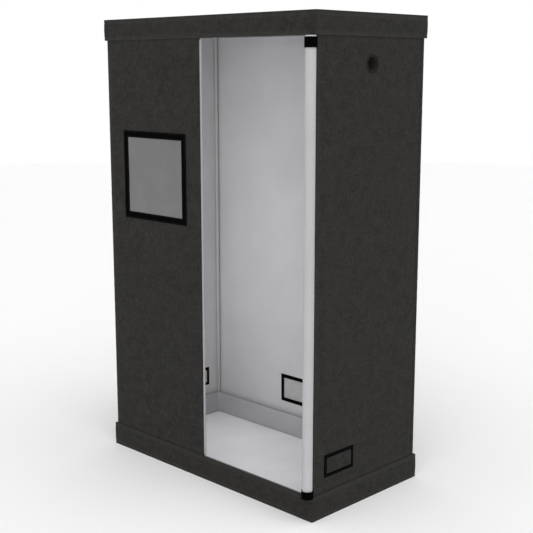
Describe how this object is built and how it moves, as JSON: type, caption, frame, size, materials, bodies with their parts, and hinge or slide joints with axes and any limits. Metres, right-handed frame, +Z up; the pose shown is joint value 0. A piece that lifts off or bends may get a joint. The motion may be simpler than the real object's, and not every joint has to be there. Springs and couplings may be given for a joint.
{
  "type": "printer enclosure tent",
  "caption": "Upright fabric enclosure tent on a tube frame, with a rolled-up door at one corner, a film window, side hose ports, low flap vents, proud cap and base bands and a lift-out tray.",
  "frame": {"origin": "on the ground, midway between the two side walls and midway between the front and rear walls", "axes": "+Z up, +X to the right along the front, +Y from the front wall to the rear wall"},
  "size_m": [1.1743, 0.6571, 1.8],
  "materials": {
    "outer_fabric": "charcoal coated woven polyester",
    "white_lining": "smooth pale coated lining",
    "tray_fabric": "pale grey wipe-clean coated cloth",
    "black_binding": "black woven webbing and binding tape",
    "zip_coil": "pale grey nylon coil zip",
    "vent_mesh": "fine pale polyester mesh",
    "window_film": "smoky translucent PVC film",
    "slider_metal": "black painted zinc",
    "grey_tube": "grey powder-coated steel tube",
    "corner_plastic": "dark moulded nylon"
  },
  "bodies": {
    "shell": {"roof_panel": "outer_fabric", "cap_band": "outer_fabric", "front_panel": "outer_fabric", "left_side_panel": "outer_fabric", "right_side_panel": "outer_fabric", "rear_panel": "outer_fabric", "base_band": "outer_fabric", "floor_panel": "outer_fabric", "left_port_sleeve": "outer_fabric", "right_port_sleeve": "outer_fabric", "window_border_outer": "black_binding", "window_border_inner": "black_binding", "left_vent_binding": "black_binding", "right_vent_binding": "black_binding", "rear_vent_binding": "black_binding", "left_port_collar": "black_binding", "right_port_collar": "black_binding", "door_zip": "zip_coil", "left_vent_mesh": "vent_mesh", "right_vent_mesh": "vent_mesh", "rear_vent_mesh": "vent_mesh", "window_film": "window_film", "post_left_front_lower": "grey_tube", "post_left_front_upper": "grey_tube", "post_right_front_lower": "grey_tube", "post_right_front_upper": "grey_tube", "post_right_rear_lower": "grey_tube", "post_right_rear_upper": "grey_tube", "post_left_rear_lower": "grey_tube", "post_left_rear_upper": "grey_tube", "rail_top_front": "grey_tube", "rail_top_rear": "grey_tube", "rail_top_left": "grey_tube", "rail_top_right": "grey_tube", "rail_bottom_front": "grey_tube", "rail_bottom_rear": "grey_tube", "rail_bottom_left": "grey_tube", "rail_bottom_right": "grey_tube", "connector_left_front_top": "corner_plastic", "connector_left_front_bottom": "corner_plastic", "connector_right_front_top": "corner_plastic", "connector_right_front_bottom": "corner_plastic", "connector_right_rear_top": "corner_plastic", "connector_right_rear_bottom": "corner_plastic", "connector_left_rear_top": "corner_plastic", "connector_left_rear_bottom": "corner_plastic"},
    "door_bundle": {"door_roll": "white_lining", "door_strap_top": "black_binding", "door_strap_bottom": "black_binding"},
    "right_flap": {"right_vent_flap": "outer_fabric"},
    "left_flap": {"left_vent_flap": "outer_fabric"},
    "rear_flap": {"rear_vent_flap": "outer_fabric"},
    "top_slider": {"zip_top_slider": "slider_metal"},
    "top_tab": {"zip_top_pull_tab": "slider_metal"},
    "bottom_slider": {"zip_bottom_slider": "slider_metal"},
    "bottom_tab": {"zip_bottom_pull_tab": "slider_metal"},
    "left_roof_bar": {"roof_bar_left": "grey_tube"},
    "right_roof_bar": {"roof_bar_right": "grey_tube"},
    "tray": {"floor_tray": "tray_fabric"}
  },
  "joints": [
    {"name": "door_swing", "type": "hinge", "parent": "shell", "child": "door_bundle", "pos_m": [0.571, -0.3, 0.9], "axis": [0, 0, 1], "range_deg": [0, 90]},
    {"name": "right_flap_hinge", "type": "hinge", "parent": "shell", "child": "right_flap", "pos_m": [0.5728, -0.154, 0.2197], "axis": [0, -1, 0], "range_deg": [0, 170]},
    {"name": "left_flap_hinge", "type": "hinge", "parent": "shell", "child": "left_flap", "pos_m": [-0.5728, 0.154, 0.2197], "axis": [0, 1, 0], "range_deg": [0, 170]},
    {"name": "rear_flap_hinge", "type": "hinge", "parent": "shell", "child": "rear_flap", "pos_m": [0, 0.3018, 0.2592], "axis": [1, 0, 0], "range_deg": [0, 170]},
    {"name": "zip_top_slide", "type": "slide", "parent": "shell", "child": "top_slider", "axis": [-1, 0, 0], "range_m": [0, 0.52]},
    {"name": "zip_top_tab_hinge", "type": "hinge", "parent": "top_slider", "child": "top_tab", "pos_m": [0.54, -0.3055, 1.7125], "axis": [-1, 0, 0], "range_deg": [0, 125]},
    {"name": "zip_bottom_slide", "type": "slide", "parent": "shell", "child": "bottom_slider", "axis": [-1, 0, 0], "range_m": [0, 0.52]},
    {"name": "zip_bottom_tab_hinge", "type": "hinge", "parent": "bottom_slider", "child": "bottom_tab", "pos_m": [0.54, -0.3055, 0.0995], "axis": [-1, 0, 0], "range_deg": [0, 125]},
    {"name": "roof_bar_left_slide", "type": "slide", "parent": "shell", "child": "left_roof_bar", "axis": [1, 0, 0], "range_m": [-0.3, 0.15]},
    {"name": "roof_bar_right_slide", "type": "slide", "parent": "shell", "child": "right_roof_bar", "axis": [1, 0, 0], "range_m": [-0.15, 0.3]},
    {"name": "tray_lift", "type": "slide", "parent": "shell", "child": "tray", "axis": [0, 0, 1], "range_m": [0, 0.25]}
  ]
}
